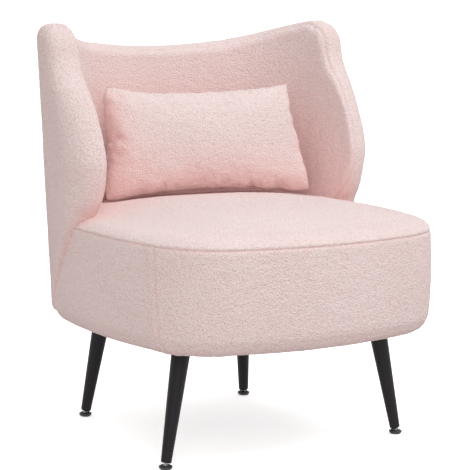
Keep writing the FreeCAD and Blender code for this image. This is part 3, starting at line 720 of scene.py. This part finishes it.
# the four edges are evened out, with less and less change further in
panel = np.arange(WIDE * TALL).reshape(WIDE, TALL)
fade_x, fade_z = (np.exp(-(np.arange(n) / 6.0) ** 2) for n in (WIDE, TALL))
fix_x = (np.outer(fade_x, evened(pillow_v[panel[0], 0]))
         + np.outer(fade_x[::-1], evened(pillow_v[panel[-1], 0])))
fix_z = (np.outer(evened(pillow_v[panel[:, 0], 2]), fade_z)
         + np.outer(evened(pillow_v[panel[:, -1], 2]), fade_z[::-1]))
fix = np.stack([fix_x, 0 * fix_x, fix_z], -1).reshape(-1, 3)
pillow_v[:WIDE * TALL] += fix
pillow_v[WIDE * TALL:] += fix[~pillow_border]
pillow_v *= HALF / np.maximum(np.abs(pillow_v).max(0), 1e-6)
# edges between the corners are let out, the sides slant and the corners round off
across, upward = pillow_v[:, 0] / HALF[0], pillow_v[:, 2] / HALF[2]
pillow_v[:, 0] *= 1 + (DRAWN[0] - 0.02 * np.sign(across)) * (1 - upward ** 2) * across ** 2
pillow_v[:, 2] *= 1 + (DRAWN[1] - 0.025 * np.sign(upward)) * (1 - across ** 2) * upward ** 2
pillow_v[:, 0] -= (0.001 + 0.021 * upward) * ease(across, 0.1, 1.0)
pillow_v[:, 0] += (0.006 * upward - 0.009) * ease(-across, 0.1, 1.0)
corner = ease(np.abs(across), 0.80, 1.0) * ease(np.abs(upward), 0.66, 1.0)
pillow_v[:, 0] *= 1 - 0.030 * corner
pillow_v[:, 2] *= 1 - 0.050 * corner
pillow.data.vertices.foreach_set("co", pillow_v.ravel())
finer = pillow.modifiers.new("finer", "SUBSURF")
finer.levels = 1
fine = bpy.data.meshes.new_from_object(
    pillow.evaluated_get(bpy.context.evaluated_depsgraph_get()))
pillow.modifiers.remove(finer)
pillow.data = fine
pillow_v = np.array([v.co for v in fine.vertices])
quads = np.array([list(p.vertices) for p in fine.polygons])
pillow_n = vertex_normals(pillow_v, quads)
edge_gap = np.minimum(HALF[0] - np.abs(pillow_v[:, 0]), HALF[2] - np.abs(pillow_v[:, 2]))
gather = 0.0011 * drift(pillow_v, 0.016, 52) * np.exp(-np.maximum(edge_gap, 0) / 0.020)
slack = 0.0022 * drift(pillow_v, 0.085, 53) + 0.0008 * drift(pillow_v, 0.035, 54)
pillow_v = pillow_v + pillow_n * (gather + slack * 0.7 + pile_height(pillow_v, 17))[:, None]
place = Matrix.Translation(PILLOW_MIDDLE)
for angle, axis in ((PILLOW_ROLL, "Y"), (PILLOW_TURN, "Z"), (PILLOW_LEAN, "X")):
    place = place @ Matrix.Rotation(math.radians(-angle), 4, axis)
spun = np.array(place.to_3x3())
pillow_v = pillow_v @ spun.T + np.array(place.translation)
# the lower edge is pressed flat where it rests on the seat
out = np.hypot(pillow_v[:, 0] / (SEAT["a"] - DOME_INSET),
               (pillow_v[:, 1] - MIDDLE_Y) / (SEAT["b"] - DOME_INSET))
rest_z = SEAT_TOP + crown_rise(out) - pressed_in(*pillow_v.T[:2]) + 0.0014
over = pillow_v[:, 2] - rest_z
pillow_v[:, 2] = rest_z + 0.5 * (over + np.sqrt(over ** 2 + 0.003 ** 2))
fine.vertices.foreach_set("co", pillow_v.ravel())
fine.update()
fine.shade_smooth()
fine.materials.clear()
fine.materials.append(pile)
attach(pillow, "pillow")
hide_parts("pillow_cover", "pillow_filling")

# ---------------------------------------------------------------- hard pieces
finishes = {
    "leg_paint": grained("satin_black_powder_coat", (0.006, 0.005, 0.007),
                         (0.012, 0.010, 0.013), 900, 0.50, 0.0, 0.18, 0.0002, shine=0.18),
    "glide_plastic": grained("black_nylon", (0.013, 0.013, 0.014), (0.024, 0.024, 0.026),
                             500, 0.55, 0.0, 0.15, 0.0002),
    "zinc_steel": grained("zinc_plated_steel", (0.50, 0.50, 0.47), (0.64, 0.64, 0.62),
                          180, 0.34, 1.0, 0.1, 0.0001),
    "spring_steel": grained("drawn_spring_wire", (0.22, 0.22, 0.23), (0.36, 0.36, 0.37),
                            260, 0.38, 1.0, 0.15, 0.0001, (1, 1, 8)),
    "plywood": grained("birch_plywood", (0.56, 0.40, 0.23), (0.74, 0.58, 0.39),
                       26, 0.62, 0.0, 0.25, 0.0004, (1, 7, 1)),
    "softwood": grained("planed_pine", (0.60, 0.41, 0.21), (0.78, 0.61, 0.38),
                        22, 0.60, 0.0, 0.3, 0.0004, (9, 9, 1)),
    "hardboard": grained("smooth_hardboard", (0.22, 0.13, 0.075), (0.31, 0.20, 0.12),
                         130, 0.58, 0.0, 0.2, 0.0003),
    "clip_plastic": grained("clip_plastic", (0.74, 0.74, 0.70), (0.83, 0.83, 0.79),
                            300, 0.5, 0.0, 0.1, 0.0001),
    "seat_dust_cover": grained("spunbond_dust_cover", (0.020, 0.020, 0.021),
                               (0.040, 0.040, 0.042), 700, 0.92, 0.0, 0.6, 0.0006),
}
node_slots = {row["node"]: row["material_slot"] for row in frame["record"]["subparts"]}
for name, part in frame["nodes"].items():
    finish = finishes.get(node_slots.get(name))
    if finish is None:
        continue
    if not part.data.materials:
        part.data.materials.append(finish)
    for held in part.material_slots:
        held.material = finish

# ---------------------------------------------------------------- floor, light, camera
floor = new_object("floor", [(-30, -30, 0), (30, -30, 0), (30, 30, 0), (-30, 30, 0)],
                   [(0, 1, 2, 3)], False)
floor_paint = grained("pale_floor", (0.955, 0.955, 0.957), (0.965, 0.965, 0.967), 3.0, 0.9)
for held in floor_paint.node_tree.nodes:
    if held.type == "BSDF_PRINCIPLED":
        held.inputs["Emission Color"].default_value = (1, 1, 1, 1)
        held.inputs["Emission Strength"].default_value = 0.50
floor.data.materials.append(floor_paint)
floor.visible_diffuse = False

world = bpy.data.worlds.new("studio")
bpy.context.scene.world = world
world.use_nodes = True
sky = world.node_tree
heading = sky.nodes.new("ShaderNodeTexCoord")
apart = sky.nodes.new("ShaderNodeSeparateXYZ")
sky.links.new(heading.outputs["Generated"], apart.inputs[0])
raised = maths(sky, "MULTIPLY_ADD", apart.outputs["Z"], 0.5)
raised.node.inputs[2].default_value = 0.5
sky.links.new(ramp(sky, raised, [(0.42, (0.84, 0.715, 0.69)), (0.56, (1.0, 0.975, 0.968))]),
              sky.nodes["Background"].inputs[0])
sky.nodes["Background"].inputs[1].default_value = 0.90


def soft_light(name, at, towards, wide, power, tint=(1, 1, 1)):
    data = bpy.data.lights.new(name, "AREA")
    data.shape = "DISK"
    data.size = wide
    data.energy = power
    data.color = tint
    lamp = bpy.data.objects.new(name, data)
    lamp.location = at
    lamp.rotation_euler = (Vector(towards) - Vector(at)).to_track_quat("-Z", "Y").to_euler()
    bpy.context.scene.collection.objects.link(lamp)


soft_light("key", (1.5, -1.8, 3.9), (0, 0, 0.45), 2.6, 82)
soft_light("fill", (-2.0, -3.2, 1.9), (0.1, 0, 0.5), 2.2, 50, (1.0, 0.93, 0.91))

camera_data = bpy.data.cameras.new("camera")
camera_data.lens = 151.08
camera_data.sensor_width = 36
camera = bpy.data.objects.new("camera", camera_data)
bpy.context.scene.collection.objects.link(camera)
camera.location = (-2.1311, -3.1792, 0.9629)
camera.rotation_euler = [math.radians(a) for a in (81.484658, -1.032991, -33.77869)]
bpy.context.scene.camera = camera
bpy.context.scene.view_settings.view_transform = "Standard"
